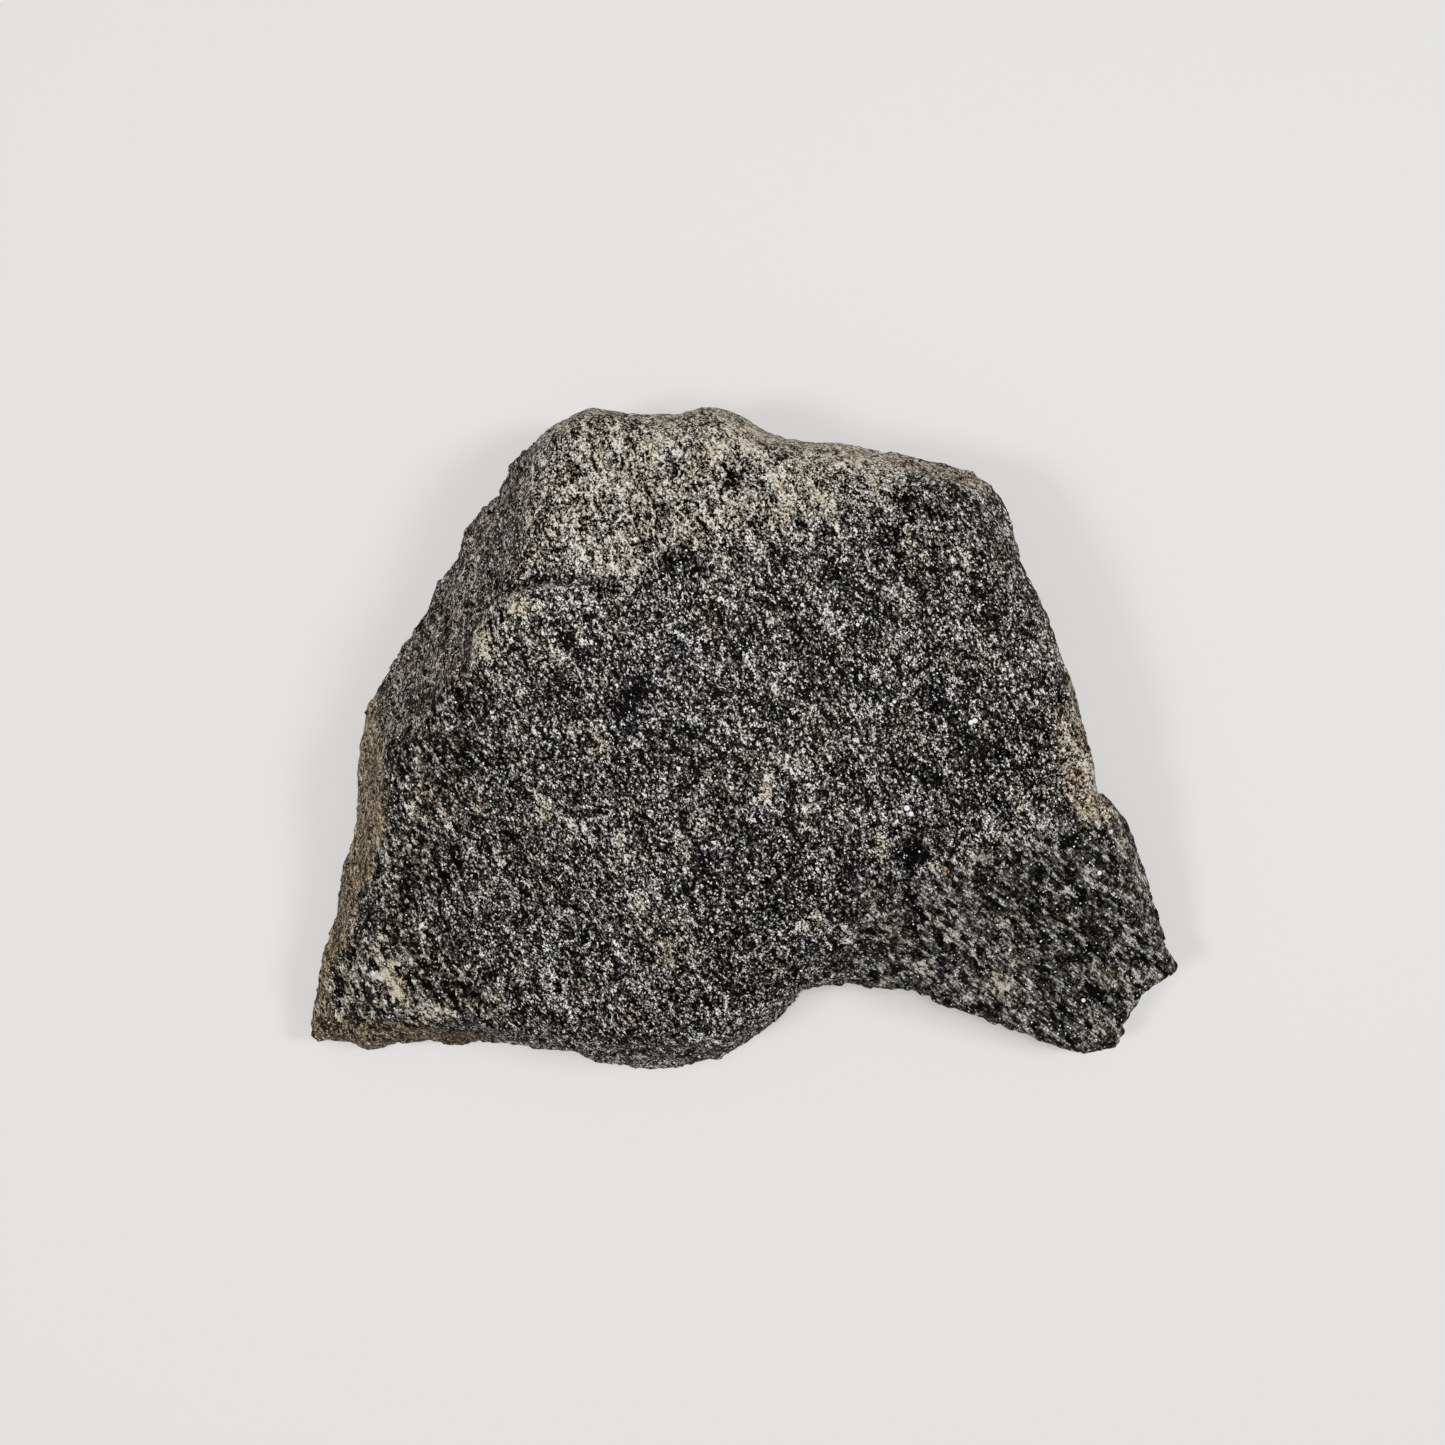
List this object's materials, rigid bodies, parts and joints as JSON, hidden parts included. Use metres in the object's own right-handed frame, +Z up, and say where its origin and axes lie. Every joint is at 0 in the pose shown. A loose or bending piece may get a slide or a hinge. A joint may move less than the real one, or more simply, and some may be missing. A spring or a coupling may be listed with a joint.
{
  "type": "gneiss specimen",
  "caption": "Broken slab of dark speckled biotite gneiss, lying on its flatter side; a natural stone hand specimen for display, set dressing or as a loose weight.",
  "frame": {"origin": "under the middle of the stone's bounding box, on the surface that it rests on", "axes": "+X along the stone's longest extent, towards its thin end; +Y towards its weathered back edge; +Z up, through its thickness"},
  "size_m": [0.1142, 0.0852, 0.0249],
  "materials": {
    "gneiss": "fine salt-and-pepper grain on rough broken faces, with paler weathered skin at the back and a brown stained joint face on the left"
  },
  "bodies": {
    "root": {"gneiss_stone": "gneiss"}
  },
  "joints": []
}
